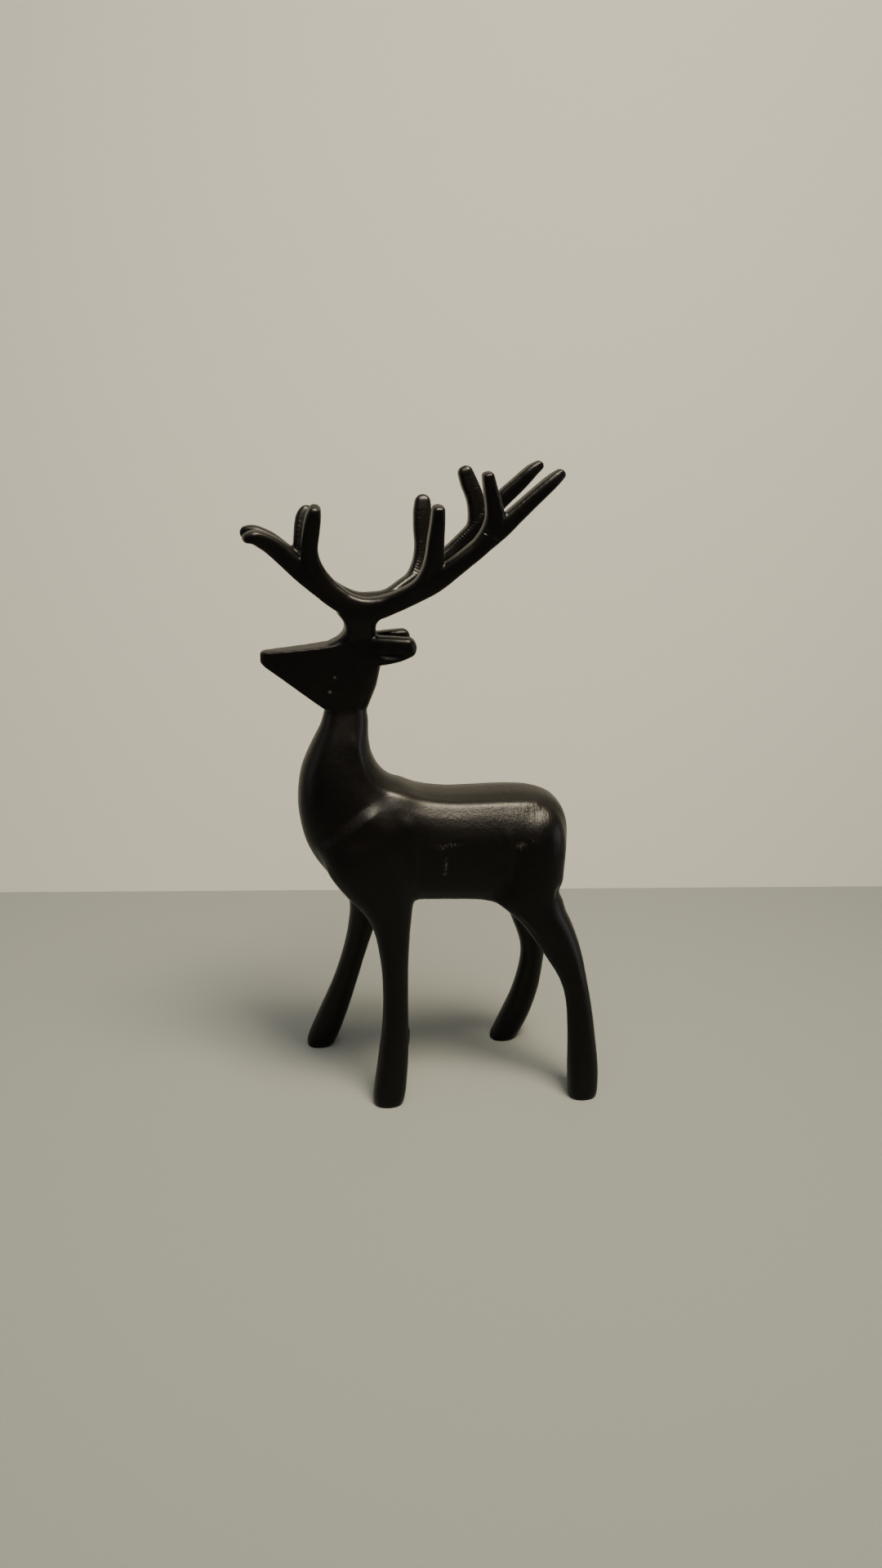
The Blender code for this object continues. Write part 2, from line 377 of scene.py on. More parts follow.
@dataclass(frozen=True)
class Step:
    """How a right leg differs from the left one as it swings forward.

    The numbers are the height that it swings from, the reach of the foot, the backward
    bow of the shank, the sideways spread of the foot, and how far the shank curls
    forward at the top and back at the bottom.
    """

    pivot: float
    reach: float
    bow: float
    spread: float
    curl: float = 0.0

    def take(self, station: Station) -> Station:
        """Move a station of the left leg as the step says.

        Args:
            station: the left leg's station.

        Returns:
            The right leg's station.
        """
        x, y, z, length, width = station
        share = max(0.0, 1 - z / self.pivot)
        back = self.bow * 4 * share * (1 - share)
        back -= self.curl * math.sin(2 * math.pi * share)
        return (x - self.reach * share + back, y + self.spread * share, z, length, width)


@dataclass
class Leg:
    """One leg, as level rings from inside the torso down to the cut foot.

    Each station is x, distance from the middle plane, z, half length and half width.
    """

    name: str
    stations: tuple[Station, ...]
    side: Side
    stride: Step | None = None
    step: float = 1.2

    def build(self, stock: RingStock) -> bpy.types.Object:
        """Bridge the leg.

        Args:
            stock: where its rings come from.

        Returns:
            The closed form.
        """
        stations = self.stations
        if self.stride:
            stations = tuple(self.stride.take(station) for station in stations)
        rings = []
        for x, y, z, length, width in smooth_through(stations, self.step):
            centre = Vector((x, self.side.value * y, z))
            rings.append(Ring(centre, Vector((1, 0, 0)), Vector((0, 1, 0)),
                              length, width))
        return stock.loft(self.name, Section.LIMB, rings)


FORE_LEG = (
    (-3.0, 6.5, 98.0, 5.0, 3.4),
    (-5.5, 7.6, 94.0, 9.4, 5.4),
    (-9.6, 8.2, 87.0, 13.4, 7.2),
    (-10.9, 8.6, 79.0, 13.9, 7.8),
    (-8.4, 9.4, 71.0, 11.2, 7.2),
    (-5.6, 10.3, 64.0, 7.9, 6.2),
    (-4.4, 11.3, 57.0, 5.7, 5.2),
    (-3.9, 13.0, 46.0, 4.4, 4.3),
    (-3.9, 14.4, 36.5, 4.1, 3.9),
    (-4.2, 15.7, 27.0, 4.3, 3.9),
    (-5.1, 17.1, 16.5, 4.9, 4.2),
    (-6.3, 18.2, 6.5, 5.3, 4.6),
    (-6.9, 18.7, 1.6, 5.1, 4.6),
    (-7.0, 18.8, 0.0, 4.6, 4.2),
    (-7.1, 18.9, -0.8, 4.0, 3.7),
)
HIND_LEG = (
    (42.6, 7.4, 96.0, 5.0, 3.6),
    (42.4, 8.0, 92.0, 8.0, 6.2),
    (42.0, 8.6, 84.0, 9.8, 7.9),
    (41.0, 9.2, 74.0, 10.2, 8.0),
    (39.6, 10.2, 66.6, 11.4, 7.4),
    (41.0, 10.5, 64.0, 10.3, 7.2),
    (42.8, 10.9, 61.4, 9.2, 7.0),
    (46.0, 11.8, 57.0, 8.0, 6.4),
    (50.3, 14.0, 48.5, 6.4, 5.2),
    (53.8, 16.4, 39.5, 4.5, 4.4),
    (55.5, 18.2, 31.5, 4.1, 4.0),
    (56.3, 20.4, 20.0, 4.6, 4.1),
    (56.6, 22.2, 9.5, 5.1, 4.6),
    (56.6, 23.0, 1.6, 4.9, 4.5),
    (56.6, 23.1, 0.0, 4.5, 4.1),
    (56.6, 23.2, -0.8, 3.9, 3.6),
)


def legs() -> list[Leg]:
    """The four legs of the walk.

    Returns:
        The legs, left ones first.
    """
    return [
        Leg("left_fore_leg", FORE_LEG, Side.LEFT),
        Leg("left_hind_leg", HIND_LEG, Side.LEFT),
        Leg("right_fore_leg", FORE_LEG, Side.RIGHT, Step(80.0, 20.2, -0.4, 4.2)),
        Leg("right_hind_leg", HIND_LEG, Side.RIGHT, Step(63.0, 19.2, 1.1, -4.4, 1.2)),
    ]


@dataclass
class Head:
    """The flat wedge of the head and the stalk that carries the antlers.

    A slice of the wedge is x, its lowest and highest z and its half thickness.
    """

    edge: float = 0.6
    edge_angle: float = 35.0
    slices: tuple[Station, ...] = (
        (-42.3, 143.5, 146.6, 1.2),
        (-41.0, 142.3, 147.0, 2.5),
        (-36.0, 138.6, 147.3, 3.3),
        (-28.0, 132.4, 148.0, 4.1),
        (-23.6, 129.1, 148.5, 4.5),
        (-17.4, 127.4, 149.4, 4.8),
        (-10.3, 128.0, 150.4, 5.0),
        (-7.4, 135.0, 150.4, 4.9),
        (-5.6, 142.8, 150.2, 4.7),
    )
    stalk: tuple[Station, ...] = (
        (-12.4, 0.0, 144.0, 6.4, 4.6),
        (-14.4, 0.0, 149.1, 7.5, 4.55),
        (-13.6, 0.0, 149.8, 6.6, 4.7),
        (-12.9, 0.0, 150.6, 5.8, 4.95),
        (-12.4, 0.0, 151.6, 5.2, 5.3),
        (-12.1, 0.0, 152.6, 4.85, 5.7),
        (-12.0, 0.0, 153.8, 4.7, 6.1),
        (-12.0, 0.0, 155.0, 4.9, 6.6),
        (-11.8, 0.0, 156.2, 5.6, 7.0),
        (-11.4, 0.0, 157.3, 6.8, 7.2),
        (-10.8, 0.0, 158.3, 8.2, 7.25),
        (-10.4, 0.0, 160.8, 8.9, 7.2),
    )
    stalk_step: float = 0.8
    rear_edge: float = 4.3
    rear_top: float = 145.0

    def build(self, stock: RingStock) -> list[bpy.types.Object]:
        """Extrude the wedge slice by slice and bridge the stalk.

        Args:
            stock: where the stalk's rings come from.

        Returns:
            The closed forms.
        """
        return [self._wedge(), self._stalk(stock)]

    def _wedge(self) -> bpy.types.Object:
        """Push the wedge out of a plane, from the nose to the back of the head.

        Returns:
            The closed form.
        """
        x, low, high, half = self.slices[0]
        deselect()
        bpy.ops.mesh.primitive_plane_add(
            size=2, location=BENCH.place((x, 0, (low + high) / 2)),
            rotation=(0, math.pi / 2, 0), scale=(1, 1, 1))
        wedge = bpy.context.object
        wedge.name = "head"
        wedge.scale = ((high - low) / 2 * MM, half * MM, 1)
        bpy.ops.object.transform_apply(location=True, rotation=True, scale=True)
        with editing(wedge, "FACE"):
            bpy.ops.mesh.select_all(action="SELECT")
            for before, after in zip(self.slices, self.slices[1:]):
                middle = (after[1] + after[2]) / 2
                lift = middle - (before[1] + before[2]) / 2
                bpy.ops.mesh.extrude_region_move(TRANSFORM_OT_translate={
                    "value": ((after[0] - before[0]) * MM, 0, lift * MM)})
                bpy.ops.transform.resize(
                    value=(1, after[3] / before[3],
                           (after[2] - after[1]) / (before[2] - before[1])),
                    center_override=BENCH.place((after[0], 0, middle)))
            bpy.ops.mesh.select_all(action="SELECT")
            bpy.ops.mesh.normals_make_consistent(inside=False)
        self._round_rear(wedge)
        finish_with(wedge, "BEVEL", width=self.edge * MM, segments=4,
                    limit_method="ANGLE", angle_limit=math.radians(self.edge_angle))
        return wedge

    def _round_rear(self, wedge: bpy.types.Object) -> None:
        """Round off the two long edges at the back of the head, below the ears.

        Args:
            wedge: the head.
        """
        points = points_of(wedge)
        rear = (points[:, 0] > self.slices[-3][0] - 0.2) & (points[:, 2] < self.rear_top)
        for part in (*wedge.data.vertices, *wedge.data.polygons):
            part.select = False
        for edge in wedge.data.edges:
            start, end = edge.vertices
            upright = abs(points[start, 2] - points[end, 2]) > 1
            same_side = abs(points[start, 1] - points[end, 1]) < 1
            edge.select = bool(rear[start] and rear[end] and upright and same_side)
        with editing(wedge, "EDGE"):
            bpy.ops.mesh.bevel(offset=self.rear_edge * MM, segments=6, profile=0.5,
                               affect="EDGES")

    def _stalk(self, stock: RingStock) -> bpy.types.Object:
        """The stalk, from inside the head up into the antlers.

        Args:
            stock: where its rings come from.

        Returns:
            The closed form.
        """
        rings = []
        for x, y, z, length, width in smooth_through(self.stalk, self.stalk_step):
            rings.append(Ring(Vector((x, y, z)), Vector((1, 0, 0)), Vector((0, 1, 0)),
                              length, width))
        return stock.loft("stalk", Section.PLATE, rings)


@dataclass
class Stroke:
    """A tapered stroke of an antler or an ear, flat like a plate, with rounded ends.

    Each station is x, distance from the middle plane, z and half width, root first.  The
    tip is the length of its rounding as a share of the half width there, and dome_plate
    is how much of the rounding the plate's own faces take.
    """

    name: str
    stations: tuple[Station, ...]
    side: Side
    plate: float
    tip: float = 1.0
    step: float = 0.9
    thickest: float = 1.5
    dome_rings: int = 5
    dome_plate: float = 0.8

    def build(self, stock: RingStock) -> bpy.types.Object:
        """Bridge the stroke.

        Args:
            stock: where its rings come from.

        Returns:
            The closed form.
        """
        sign = self.side.value
        points = smooth_through(self.stations, self.step)
        rings = []
        for index, (x, y, z, width) in enumerate(points):
            before = points[max(index - 1, 0)]
            after = points[min(index + 1, len(points) - 1)]
            along = Vector((after[0] - before[0], sign * (after[1] - before[1]),
                            after[2] - before[2])).normalized()
            across = along.cross(Vector((0, 1, 0))).normalized()
            aside = across.cross(along)
            thick = min(self.plate, self.thickest * width)
            centre = Vector((x, sign * y, z))
            rings.append(Ring(centre, across, aside, width, thick))
        start = self._dome(rings[0], -1)
        return stock.loft(self.name, Section.PLATE,
                          start[::-1] + rings + self._dome(rings[-1], 1))

    def _dome(self, last: Ring, way: int) -> list[Ring]:
        """Shrinking rings that round off an end.

        Args:
            last: the ring at the end.
            way: 1 at the end of the stroke, -1 at its start.

        Returns:
            The rings, outwards.
        """
        along = last.aside.cross(last.across) * way
        rings = []
        for k in range(1, self.dome_rings + 1):
            turn = 0.5 * math.pi * k / (self.dome_rings + 0.5)
            shrink = last.half_across * (1 - math.cos(turn))
            reach = self.tip * last.half_across * math.sin(turn)
            rings.append(Ring(last.centre + along * reach,
                              last.across, last.aside, last.half_across - shrink,
                              last.half_aside - self.dome_plate * shrink))
        return rings


LEFT_STROKES: dict[str, tuple[Station, ...]] = {
    "beam": (
        (-44.6, 5.2, 181.4, 1.5),
        (-42.2, 4.6, 181.5, 2.2),
        (-38.2, 3.6, 179.5, 2.7),
        (-33.8, 3.0, 175.8, 3.0),
        (-28.8, 2.9, 171.1, 3.2),
        (-23.2, 3.2, 166.5, 3.3),
        (-17.6, 3.8, 162.3, 3.4),
        (-12.6, 4.2, 160.0, 3.5),
        (-7.5, 4.4, 159.9, 3.4),
        (-2.4, 5.2, 161.5, 3.0),
        (3.6, 8.0, 164.8, 3.0),
        (9.6, 11.0, 168.7, 3.1),
        (15.8, 12.6, 173.4, 2.7),
        (22.4, 13.2, 178.8, 2.6),
        (28.2, 13.4, 183.8, 2.8),
        (32.4, 13.3, 187.5, 2.5),
        (38.6, 13.1, 193.0, 2.2),
        (43.6, 12.9, 197.3, 1.9),
        (45.9, 12.8, 199.2, 1.5),
    ),
    "front_tine": (
        (-17.0, 3.8, 162.8, 2.6),
        (-21.8, 3.3, 166.6, 2.9),
        (-25.4, 3.2, 171.4, 3.0),
        (-26.6, 4.0, 177.2, 2.5),
        (-26.0, 5.3, 183.2, 2.5),
        (-25.3, 6.4, 187.4, 2.3),
        (-24.8, 6.9, 189.3, 1.8),
    ),
    "first_tine": (
        (0.5, 6.6, 163.4, 2.4),
        (5.4, 9.2, 166.8, 2.7),
        (8.2, 11.0, 171.2, 2.9),
        (9.2, 12.2, 176.0, 2.7),
        (9.5, 13.2, 181.0, 2.4),
        (9.9, 14.0, 186.0, 2.1),
        (10.1, 14.6, 190.1, 1.85),
    ),
    "second_tine": (
        (14.6, 12.4, 172.4, 2.3),
        (20.4, 13.1, 176.9, 2.5),
        (24.9, 13.5, 181.8, 2.9),
        (26.6, 13.8, 186.6, 2.8),
        (26.1, 14.3, 191.0, 2.4),
        (25.1, 14.8, 195.0, 2.05),
        (24.2, 15.2, 199.4, 1.7),
    ),
    "ear": (
        (-9.6, 2.0, 146.7, 4.4),
        (-6.2, 3.7, 146.85, 4.5),
        (-1.0, 5.6, 147.55, 3.8),
        (2.2, 6.3, 148.2, 3.0),
    ),
}
RIGHT_STROKES: dict[str, tuple[Station, ...]] = {
    "beam": (
        (-44.4, 5.2, 181.9, 2.0),
        (-42.2, 4.6, 181.5, 2.4),
        (-38.0, 3.6, 179.2, 2.8),
        (-33.5, 3.0, 175.3, 3.0),
        (-28.5, 2.9, 170.6, 3.1),
        (-22.9, 3.2, 166.0, 3.2),
        (-17.4, 3.8, 162.1, 3.4),
        (-12.6, 4.2, 160.0, 3.5),
        (-7.5, 4.4, 159.9, 3.4),
        (-2.3, 5.2, 161.2, 2.9),
        (3.6, 8.0, 164.5, 2.8),
        (10.1, 11.0, 168.1, 2.8),
        (16.4, 12.6, 172.1, 2.8),
        (22.6, 13.2, 177.7, 2.7),
        (28.2, 13.4, 183.7, 2.5),
        (33.1, 13.3, 189.0, 2.5),
        (38.6, 13.1, 194.0, 2.3),
        (42.7, 12.9, 197.9, 1.9),
        (44.9, 12.8, 199.5, 1.5),
    ),
    "front_tine": (
        (-17.0, 3.8, 162.6, 2.5),
        (-22.7, 3.3, 166.0, 2.8),
        (-27.0, 3.2, 170.3, 2.9),
        (-28.6, 4.0, 175.8, 2.5),
        (-28.2, 5.3, 181.6, 2.6),
        (-27.6, 6.4, 185.6, 2.5),
        (-27.0, 6.9, 187.0, 2.2),
    ),
    "first_tine": (
        (0.9, 6.6, 162.8, 2.3),
        (5.4, 9.2, 165.9, 2.6),
        (8.0, 11.0, 170.2, 2.75),
        (9.1, 12.2, 175.6, 2.8),
        (9.0, 13.2, 181.2, 2.9),
        (9.0, 14.0, 186.0, 2.8),
        (9.1, 14.6, 188.8, 2.4),
    ),
    "second_tine": (
        (16.6, 12.4, 171.4, 2.2),
        (21.8, 13.1, 176.0, 2.4),
        (25.3, 13.5, 181.0, 2.6),
        (26.0, 13.8, 185.8, 2.8),
        (25.2, 14.3, 190.4, 2.7),
        (23.6, 14.8, 194.4, 2.65),
        (22.4, 15.2, 197.7, 2.3),
    ),
    "ear": (
        (-9.6, 2.0, 146.9, 4.5),
        (-6.2, 3.7, 146.9, 4.5),
        (-1.0, 5.6, 147.6, 3.8),
        (2.4, 6.3, 148.0, 3.4),
    ),
}


@dataclass
class Antlers:
    """Both antlers and both ears, with the dish in each ear's outer face."""

    plate: float = 3.0
    ear_plate: float = 2.7
    saddle: tuple[Station, ...] = (
        (-22.0, 0.0, 166.0, 2.6),
        (-17.4, 0.0, 161.9, 2.9),
        (-12.6, 0.0, 159.7, 3.0),
        (-7.4, 0.0, 159.6, 2.9),
        (-2.4, 0.0, 161.1, 2.4),
        (1.0, 0.0, 162.6, 1.9),
    )
    tips: dict[str, float] = field(default_factory=lambda: {
        "left_first_tine": 0.5, "left_second_tine": 0.5, "left_front_tine": 0.75,
        "left_beam": 0.85, "right_second_tine": 0.8, "right_ear": 0.5, "left_ear": 0.8})
    dish: Point = (-3.4, 8.2, 146.1)
    dish_halves: Point = (4.9, 1.5, 1.9)
    dish_turn: float = 17.0

    def build(self, stock: RingStock) -> list[bpy.types.Object]:
        """Bridge every stroke.

        Args:
            stock: where their rings come from.

        Returns:
            The closed forms.
        """
        forms = [Stroke("saddle", self.saddle, Side.RIGHT, self.plate).build(stock)]
        for side, strokes in ((Side.LEFT, LEFT_STROKES), (Side.RIGHT, RIGHT_STROKES)):
            for name, stations in strokes.items():
                plate = self.ear_plate if name == "ear" else self.plate
                full_name = f"{side.name.lower()}_{name}"
                tip = self.tips.get(full_name, 1.0)
                form = Stroke(full_name, stations, side, plate, tip).build(stock)
                if name == "ear":
                    self._press(form, side)
                forms.append(form)
        return forms

    def _press(self, ear: bpy.types.Object, side: Side) -> None:
        """Press the dish into the outer face of an ear.

        Args:
            ear: the ear.
            side: the flank that it is on.
        """
        x, y, z = self.dish
        deselect()
        bpy.ops.mesh.primitive_uv_sphere_add(
            segments=48, ring_count=24, radius=MM,
            location=BENCH.place((x, side.value * y, z)),
            rotation=(0, 0, math.radians(side.value * self.dish_turn)),
            scale=self.dish_halves)
        dish = bpy.context.object
        finish_with(ear, "BOOLEAN", operation="DIFFERENCE", solver="EXACT", object=dish)
        bpy.data.objects.remove(dish, do_unlink=True)


# ---------------------------------------------------------------- chasing


def points_of(thing: bpy.types.Object) -> np.ndarray:
    """The vertices of an object in the modeller's axes.

    Args:
        thing: the object.

    Returns:
        One row of x, y and z in millimetres for each vertex.
    """
    flat = np.empty(3 * len(thing.data.vertices), np.float32)
    thing.data.vertices.foreach_get("co", flat)
    return (flat.reshape(-1, 3) - np.array(BENCH.zero)) / MM


def normals_of(thing: bpy.types.Object) -> np.ndarray:
    """The normals of an object's vertices.

    Args:
        thing: the object.

    Returns:
        One row for each vertex.
    """
    flat = np.empty(3 * len(thing.data.vertices), np.float32)
    thing.data.vertex_normals.foreach_get("vector", flat)
    return flat.reshape(-1, 3)


def mark(thing: bpy.types.Object, name: str, weight: np.ndarray) -> None:
    """Give an object a vertex group.

    Args:
        thing: the object.
        name: the group's name.
        weight: one weight for each vertex; those at zero stay out.
    """
    group = thing.vertex_groups.new(name=name)
    levels = np.round(np.clip(weight, 0, 1) * WEIGHT_LEVELS).astype(int)
    chosen = np.nonzero(levels)[0]
    order = chosen[np.argsort(levels[chosen], kind="stable")]
    for run in np.split(order, np.nonzero(np.diff(levels[order]))[0] + 1):
        if len(run):
            group.add(run.tolist(), levels[run[0]] / WEIGHT_LEVELS, "REPLACE")


def rise(value: np.ndarray) -> np.ndarray:
    """A smooth rise from zero to one as the value goes from zero to one."""
    value = np.clip(value, 0, 1)
    return value * value * (3 - 2 * value)


def near(points: np.ndarray, centre: Point, radius: float) -> np.ndarray:
    """Weight that falls smoothly from a place on either flank.

    Args:
        points: the vertices.
        centre: the place, with its distance from the middle plane as y.
        radius: how far the weight reaches.

    Returns:
        One at the place, zero at the radius and beyond.
    """
    folded = points * (1, 0, 1) + np.abs(points) * (0, 1, 0)
    return rise(1 - np.linalg.norm(folded - np.array(centre), axis=1) / radius)


def trace(points: np.ndarray, path: Sequence[Point]
          ) -> tuple[np.ndarray, np.ndarray, np.ndarray, float]:
    """Where each vertex lies beside a path.

    Args:
        points: the vertices.
        path: the places that the path runs through.

    Returns:
        How far each vertex is from the path, how far along it is, how far it is to the
        right as seen from the left flank, and the length of the path.
    """
    corners = np.array(path)
    lengths = np.linalg.norm(np.diff(corners, axis=0), axis=1)
    starts = np.concatenate([[0.0], np.cumsum(lengths)])
    nearest = np.full(len(points), 1e9)
    run = np.zeros(len(points))
    offset = np.zeros(len(points))
    for index, length in enumerate(lengths):
        start = corners[index]
        along = (corners[index + 1] - start) / length
        gap = points - start
        t = np.clip(gap @ along, 0, length)
        away = gap - t[:, None] * along
        distance = np.linalg.norm(away, axis=1)
        closer = distance < nearest
        nearest[closer] = distance[closer]
        run[closer] = starts[index] + t[closer]
        side = np.array((along[2], 0, -along[0]))
        offset[closer] = (away @ side / max(np.linalg.norm(side), 1e-9))[closer]
    return nearest, run, offset, float(starts[-1])


class Form(Enum):
    """What a chasing stroke leaves: a line that stands up, or one raised side."""

    RIDGE = "ridge"
    STEP = "step"


@dataclass(frozen=True)
class Chase:
    """A stroke of the chasing tool along the skin.

    The path runs through places whose y is the distance from the middle plane.  A ridge
    stands up along it, or sinks where its height is below zero.  A step raises the skin
    to the right of the path, seen from the left flank, and dies out over its fade.
    """

    name: str
    path: tuple[Point, ...]
    height: float
    width: float
    form: Form = Form.RIDGE
    fade: float = 8.0
    ends: float = 5.0
    sides: tuple[Side, ...] = (Side.LEFT, Side.RIGHT)

    def weight(self, points: np.ndarray) -> np.ndarray:
        """How strongly the stroke moves each vertex.

        Args:
            points: the vertices.

        Returns:
            One weight from zero to one for each vertex.
        """
        folded = points * (1, 0, 1) + np.abs(points) * (0, 1, 0)
        nearest, run, offset, length = trace(folded, self.path)
        ends = rise(run / self.ends) * rise((length - run) / self.ends)
        if self.form is Form.RIDGE:
            weight = np.exp(-((nearest / self.width) ** 2)) * ends
        else:
            past = np.maximum(offset - self.width, 0) / self.fade
            close = rise(2.5 - nearest / self.fade)
            slope = np.clip(offset / self.width, 0, 1)
            weight = slope * np.exp(-past ** 2) * ends * close
        signs = [side.value for side in self.sides]
        return np.where(np.isin(np.sign(points[:, 1]), signs), weight, 0.0)

    def apply(self, cast: bpy.types.Object) -> None:
        """Move the skin of the casting.

        Args:
            cast: the casting.
        """
        mark(cast, self.name, self.weight(points_of(cast)))
        finish_with(cast, "DISPLACE", strength=self.height * MM, mid_level=0.0,
                    direction="NORMAL", vertex_group=self.name)


CHASING = (
    Chase("back_edge", ((-14.6, 7.0, 123.0), (-13.6, 8.2, 114.6), (-11.8, 9.6, 110.2),
                        (-9.3, 10.2, 107.0), (-6.7, 10.2, 104.9), (-1.1, 9.2, 101.4),
                        (11.5, 9.4, 98.8), (24.0, 9.8, 98.3), (37.5, 10.0, 98.1),
                        (45.5, 8.4, 96.2)), 0.55, 2.2),
    Chase("shoulder_step", ((-31.2, 9.6, 85.5), (-28.6, 11.0, 87.4), (-23.0, 12.2, 91.7),
                            (-18.4, 12.8, 95.4), (-14.6, 12.6, 98.3),
                            (-10.0, 12.0, 101.2), (-7.6, 11.4, 102.6)),
          1.45, 3.4, Form.STEP, 16.0, ends=7.0),
    Chase("shoulder_back", ((2.8, 12.8, 98.0), (3.6, 14.6, 92.0), (4.0, 15.4, 85.0),
                            (4.0, 15.0, 77.0), (3.2, 13.6, 70.0)), 0.5, 1.4, Form.STEP,
          6.0),
    Chase("haunch", ((27.0, 14.4, 90.0), (38.5, 13.8, 89.5), (49.0, 10.4, 88.5)), 0.6,
          6.0, ends=9.0),
    Chase("haunch_front", ((31.8, 14.2, 92.0), (32.6, 15.6, 83.0), (32.2, 15.6, 74.0),
                           (30.2, 13.6, 67.0)), 0.45, 1.0),
    Chase("thigh_front", ((34.0, 16.2, 65.4), (38.6, 16.8, 61.0), (43.8, 16.8, 54.8),
                          (49.9, 18.0, 45.0), (53.0, 19.2, 36.0)), 0.55, 0.8,
          sides=(Side.LEFT,)),
    Chase("rump_crease", ((43.0, 14.5, 69.0), (47.0, 12.5, 68.4), (51.8, 8.5, 67.8)),
          -0.5, 0.6, ends=2.5),
    Chase("rump_notch", ((46.5, 16.6, 69.4), (49.6, 14.0, 68.6), (50.8, 11.0, 68.3),
                         (50.4, 8.0, 68.0), (49.0, 5.0, 67.8), (46.5, 1.0, 67.4)),
          -1.2, 2.3, ends=3.0),
    Chase("flash", ((0.1, 16.4, 25.8), (0.2, 16.9, 18.8)), 0.6, 0.5, ends=1.4,
          sides=(Side.LEFT,)),
    Chase("seam", ((-40.0, 5.4, 177.5), (-35.9, 5.2, 173.6), (-31.0, 5.2, 168.8),
                   (-25.3, 5.4, 164.0), (-19.4, 5.8, 159.6)), 0.2, 0.3,
          sides=(Side.LEFT,)),
)

BREAK_LINE = ((21.2, 15.0, 185.0), (22.6, 16.3, 183.5), (24.4, 16.5, 182.5),
              (26.0, 16.5, 182.0), (27.4, 16.5, 181.0), (28.4, 16.2, 179.2),
              (28.9, 15.0, 178.6))
MISHAPS = (
    Chase("old_break", BREAK_LINE, -0.2, 0.2, ends=0.8, sides=(Side.LEFT,)),
    Chase("glue", tuple((x + 0.5, y, z + 0.6) for x, y, z in BREAK_LINE), 0.08, 0.25,
          ends=1.6, sides=(Side.LEFT,)),
    Chase("chip_by_break", ((21.8, 15.4, 184.2), (22.6, 16.0, 183.5)), -0.25, 0.4,
          ends=0.2, sides=(Side.LEFT,)),
    Chase("second_chip", ((26.7, 16.4, 181.7), (27.5, 16.4, 181.1)), -0.18, 0.35,
          ends=0.2, sides=(Side.LEFT,)),
)


@dataclass(frozen=True)
class Ribs:
    """Fine cross ribs that the mould has left on the inner face of a stroke.

    They keep clear of the root and the tip by the lengths given, and lie within reach of
    the stroke's middle line, where the skin faces the middle plane.
    """

    name: str
    stations: tuple[Station, ...]
    side: Side
    pitch: float = 0.9
    depth: float = 0.07
    root: float = 2.0
    tip: float = 1.0
    reach: float = 5.0
    facing: float = 0.45

    def face(self, cast: bpy.types.Object) -> tuple[np.ndarray, np.ndarray]:
        """The stroke's inner face on the casting.

        Args:
            cast: the casting.

        Returns:
            One weight for each vertex, and how far along the stroke it lies.
        """
        points = points_of(cast)
        path = [(x, self.side.value * y, z) for x, y, z, _width in self.stations]
        nearest, run, _offset, length = trace(points, path)
        inward = -self.side.value * normals_of(cast)[:, 1]
        weight = rise((inward - self.facing) / 0.4) * rise((self.reach - nearest) / 0.6)
        weight *= rise((run - self.root) / 2) * rise((length - self.tip - run) / 1.5)
        return weight, run

    def raise_ribs(self, cast: bpy.types.Object) -> None:
        """Raise the ribs on the face.

        Args:
            cast: the casting.
        """
        weight, run = self.face(cast)
        beat = run / self.pitch + 0.12 * np.sin(1.9 * run)
        height = 0.8 + 0.2 * np.sin(0.8 * run + 1.0)
        wave = (0.5 + 0.5 * np.sin(2 * math.pi * beat)) * height
        mark(cast, self.name, weight * wave)
        finish_with(cast, "DISPLACE", strength=self.depth * MM, mid_level=0.0,
                    direction="NORMAL", vertex_group=self.name)


RIBBED = (
    Ribs("front_ribs", RIGHT_STROKES["front_tine"], Side.RIGHT, root=6.0),
    Ribs("first_ribs", RIGHT_STROKES["first_tine"], Side.RIGHT),
    Ribs("second_ribs", RIGHT_STROKES["second_tine"], Side.RIGHT),
)


# ---------------------------------------------------------------- the casting


